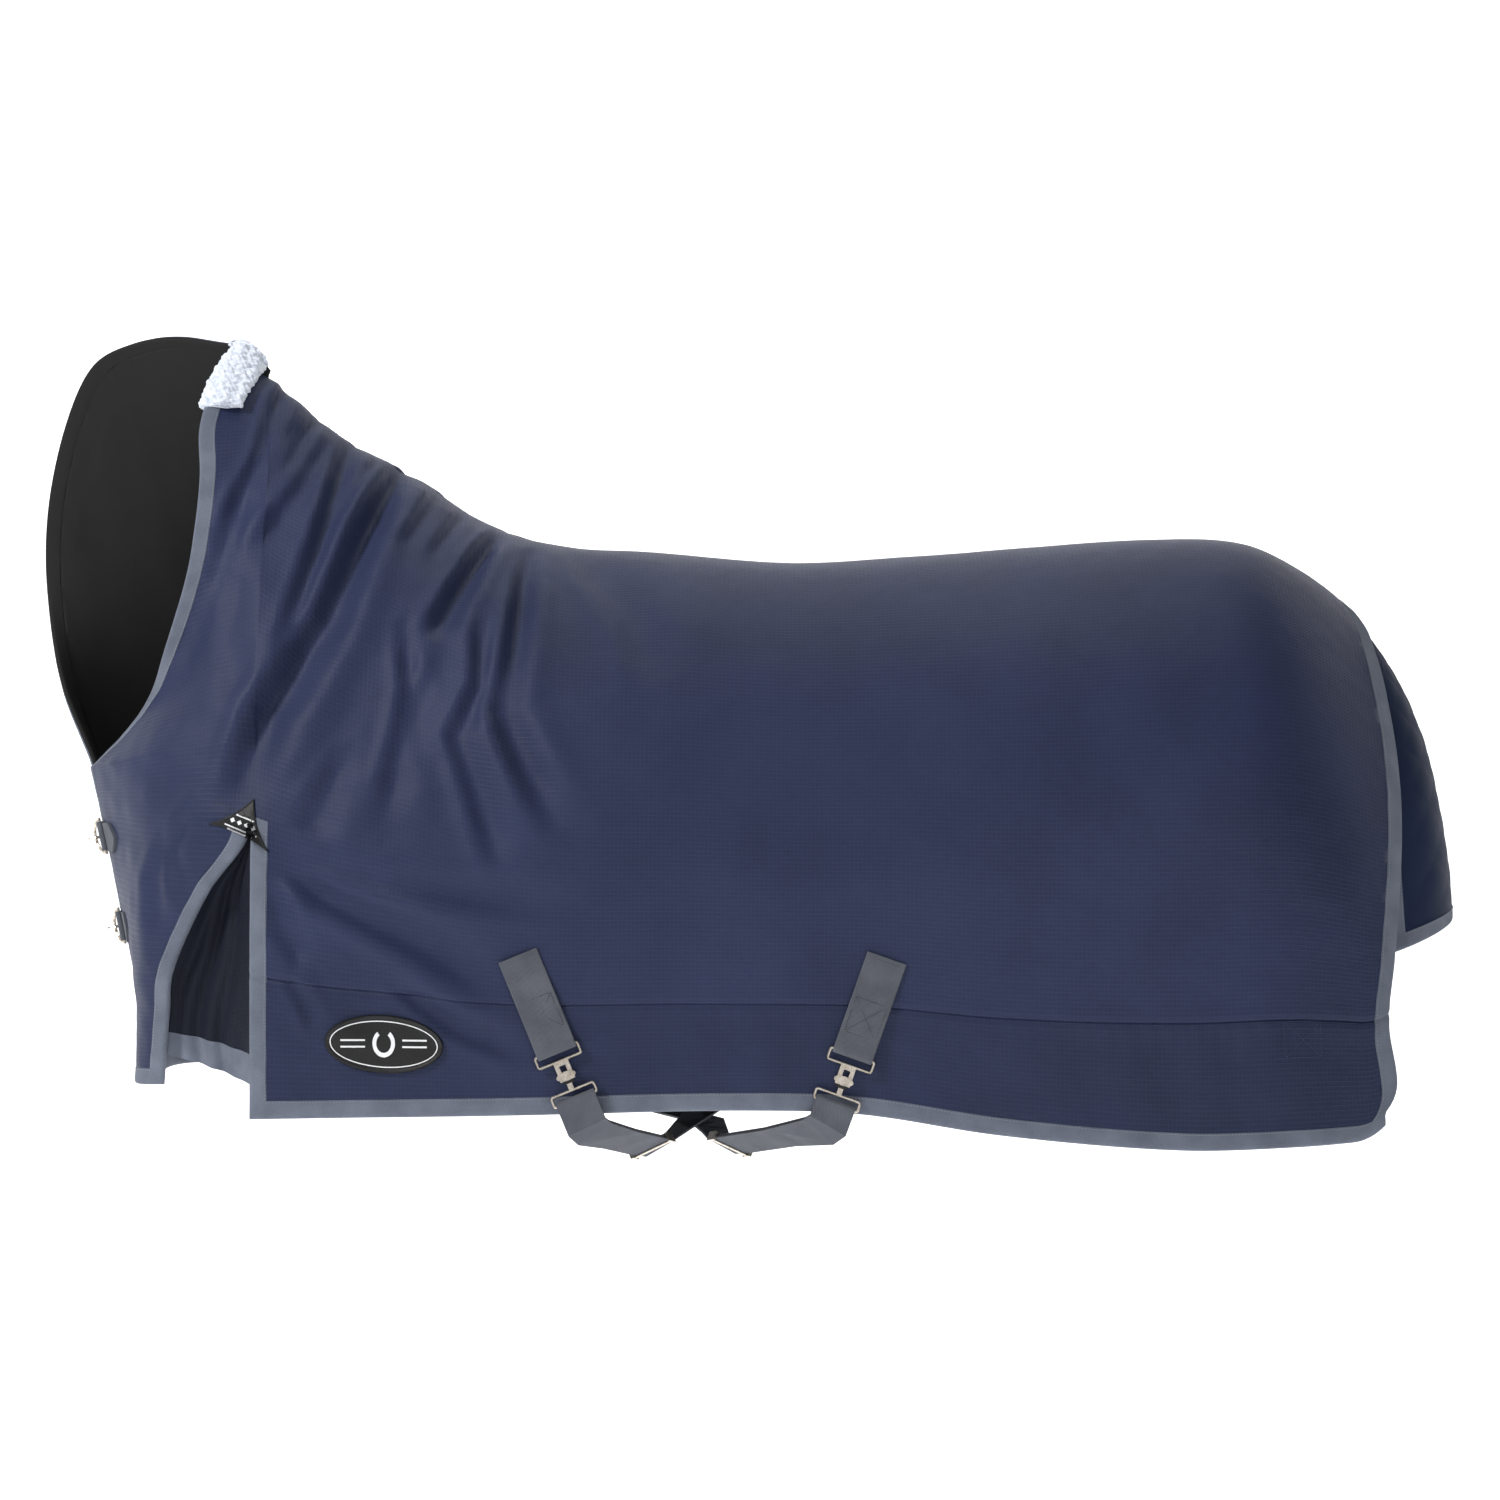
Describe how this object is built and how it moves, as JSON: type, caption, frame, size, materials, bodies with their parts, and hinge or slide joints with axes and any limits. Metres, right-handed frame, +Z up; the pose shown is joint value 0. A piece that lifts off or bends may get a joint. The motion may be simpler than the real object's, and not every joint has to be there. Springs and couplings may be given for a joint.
{
  "type": "turnout rug",
  "caption": "Padded waterproof horse turnout rug with a high neck, clipped chest, crossed surcingles and tail flap, held in its worn shape.",
  "frame": {"origin": "underside of the lining on the spine line at mid back, where the rug rests on the horse", "axes": "+X toward the tail, -Y toward the horse's left side, +Z up"},
  "size_m": [1.8469, 0.6987, 1.0629],
  "materials": {
    "outer": "navy ripstop polyester",
    "hem_fabric": "darker navy polyester",
    "wadding": "polyester filling",
    "lining": "smooth black nylon",
    "binding": "woven grey tape",
    "webbing": "woven grey webbing",
    "fleece": "white deep-pile fleece",
    "patch": "matte black reinforcement",
    "rubber": "matte black",
    "metal": "nickel plated"
  },
  "bodies": {
    "rug_body": {"outer_shell": "outer", "lining": "lining", "left_hem_band": "hem_fabric", "left_body_insulation": "wadding", "left_neck_insulation": "wadding", "left_body_binding": "binding", "left_neck_binding": "binding", "left_front_binding": "binding", "left_gusset_binding": "binding", "left_shoulder_gusset": "hem_fabric", "left_slit_patch": "patch", "left_tail_cord_loop": "webbing", "left_leg_strap_tab": "webbing", "right_hem_band": "hem_fabric", "right_body_insulation": "wadding", "right_neck_insulation": "wadding", "right_body_binding": "binding", "right_neck_binding": "binding", "right_front_binding": "binding", "right_gusset_binding": "binding", "right_shoulder_gusset": "hem_fabric", "right_slit_patch": "patch", "right_tail_cord_loop": "webbing", "right_leg_strap_tab": "webbing", "poll_fleece": "fleece", "side_badge": "rubber", "tail_flap_seam": "hem_fabric", "front_surcingle_tab": "webbing", "front_surcingle_strap": "webbing", "rear_surcingle_tab": "webbing", "rear_surcingle_strap": "webbing", "upper_chest_tab_left": "webbing", "upper_chest_tab_right": "webbing", "upper_chest_eye": "metal", "lower_chest_tab_left": "webbing", "lower_chest_tab_right": "webbing", "lower_chest_eye": "metal"},
    "tail_flap_body": {"tail_flap": "hem_fabric", "tail_flap_binding": "binding"},
    "left_leg_ring_body": {"left_leg_strap_ring": "metal"},
    "right_leg_ring_body": {"right_leg_strap_ring": "metal"},
    "front_surcingle_end_body": {"front_surcingle_end_strap": "webbing"},
    "front_surcingle_slide_body": {"front_surcingle_slide": "metal"},
    "front_surcingle_hook_body": {"front_surcingle_hook": "metal", "front_surcingle_washer": "rubber"},
    "front_surcingle_plate_body": {"front_surcingle_plate": "metal"},
    "rear_surcingle_end_body": {"rear_surcingle_end_strap": "webbing"},
    "rear_surcingle_slide_body": {"rear_surcingle_slide": "metal"},
    "rear_surcingle_hook_body": {"rear_surcingle_hook": "metal", "rear_surcingle_washer": "rubber"},
    "rear_surcingle_plate_body": {"rear_surcingle_plate": "metal"},
    "upper_chest_ring_body": {"upper_chest_ring": "metal"},
    "upper_chest_hook_body": {"upper_chest_hook": "metal"},
    "upper_chest_gate_body": {"upper_chest_gate": "metal"},
    "lower_chest_ring_body": {"lower_chest_ring": "metal"},
    "lower_chest_hook_body": {"lower_chest_hook": "metal"},
    "lower_chest_gate_body": {"lower_chest_gate": "metal"}
  },
  "joints": [
    {"name": "tail_flap_hinge", "type": "hinge", "parent": "rug_body", "child": "tail_flap_body", "pos_m": [0.794, 0, -0.07972], "axis": [0, -1, 0], "range_deg": [0, 70]},
    {"name": "left_leg_ring_hinge", "type": "hinge", "parent": "rug_body", "child": "left_leg_ring_body", "pos_m": [0.70778, -0.27251, -0.60563], "axis": [0.9068, 0.4216, 0], "range_deg": [0, 90]},
    {"name": "right_leg_ring_hinge", "type": "hinge", "parent": "rug_body", "child": "right_leg_ring_body", "pos_m": [0.70778, 0.27251, -0.60563], "axis": [-0.9068, 0.4216, 0], "range_deg": [0, 90]},
    {"name": "front_surcingle_end_fold", "type": "hinge", "parent": "rug_body", "child": "front_surcingle_end_body", "pos_m": [-0.119, -0.164, -0.73572], "axis": [0.9223, -0.0588, 0.382], "range_deg": [0, 60]},
    {"name": "front_surcingle_slide_travel", "type": "slide", "parent": "front_surcingle_end_body", "child": "front_surcingle_slide_body", "axis": [-0.3782, -0.9069, 0.1858], "range_m": [0, 0.06]},
    {"name": "front_surcingle_hook_swing", "type": "hinge", "parent": "front_surcingle_end_body", "child": "front_surcingle_hook_body", "pos_m": [-0.21069, -0.34415, -0.65946], "axis": [0.9223, -0.0588, 0.382], "range_deg": [0, 60]},
    {"name": "front_surcingle_plate_swing", "type": "hinge", "parent": "rug_body", "child": "front_surcingle_plate_body", "pos_m": [-0.23509, -0.34265, -0.60032], "axis": [-0.9223, 0.0588, -0.382], "range_deg": [0, 24]},
    {"name": "rear_surcingle_end_fold", "type": "hinge", "parent": "rug_body", "child": "rear_surcingle_end_body", "pos_m": [-0.03, -0.1, -0.73972], "axis": [0.9425, -0.0175, -0.3338], "range_deg": [0, 60]},
    {"name": "rear_surcingle_slide_travel", "type": "slide", "parent": "rear_surcingle_end_body", "child": "rear_surcingle_slide_body", "axis": [0.4415, -0.8836, 0.1562], "range_m": [0, 0.06]},
    {"name": "rear_surcingle_hook_swing", "type": "hinge", "parent": "rear_surcingle_end_body", "child": "rear_surcingle_hook_body", "pos_m": [0.10316, -0.3451, -0.66594], "axis": [0.9425, -0.0175, -0.3338], "range_deg": [0, 60]},
    {"name": "rear_surcingle_plate_swing", "type": "hinge", "parent": "rug_body", "child": "rear_surcingle_plate_body", "pos_m": [0.12451, -0.3455, -0.60561], "axis": [-0.9425, 0.0175, 0.3338], "range_deg": [0, 24]},
    {"name": "upper_chest_ring_swing", "type": "hinge", "parent": "rug_body", "child": "upper_chest_ring_body", "pos_m": [-0.83655, -0.02859, -0.34788], "axis": [-0.2214, 0, 0.9752], "range_deg": [-5, 5]},
    {"name": "upper_chest_hook_swivel", "type": "hinge", "parent": "rug_body", "child": "upper_chest_hook_body", "pos_m": [-0.85039, 0, -0.35103], "axis": [0.3739, 0.9236, 0.0849], "range_deg": [-10, 10]},
    {"name": "upper_chest_gate_pivot", "type": "hinge", "parent": "upper_chest_hook_body", "child": "upper_chest_gate_body", "pos_m": [-0.84681, 0.01927, -0.35021], "axis": [0.2214, 0, -0.9752], "range_deg": [0, 20], "stiffness_Nm_per_rad": 0.02, "springref_deg": -5.73},
    {"name": "lower_chest_ring_swing", "type": "hinge", "parent": "rug_body", "child": "lower_chest_ring_body", "pos_m": [-0.81222, -0.02878, -0.46372], "axis": [-0.2048, 0, 0.9788], "range_deg": [-5, 5]},
    {"name": "lower_chest_hook_swivel", "type": "hinge", "parent": "rug_body", "child": "lower_chest_hook_body", "pos_m": [-0.82529, 0, -0.46646], "axis": [0.325, 0.9433, 0.068], "range_deg": [-10, 10]},
    {"name": "lower_chest_gate_pivot", "type": "hinge", "parent": "lower_chest_hook_body", "child": "lower_chest_gate_body", "pos_m": [-0.82274, 0.01944, -0.46592], "axis": [0.2048, 0, -0.9788], "range_deg": [0, 20], "stiffness_Nm_per_rad": 0.02, "springref_deg": -5.73}
  ],
  "couplings": [
    {"joint": "front_surcingle_plate_swing", "follows": "front_surcingle_hook_swing", "ratio": 0.4},
    {"joint": "rear_surcingle_plate_swing", "follows": "rear_surcingle_hook_swing", "ratio": 0.4}
  ]
}
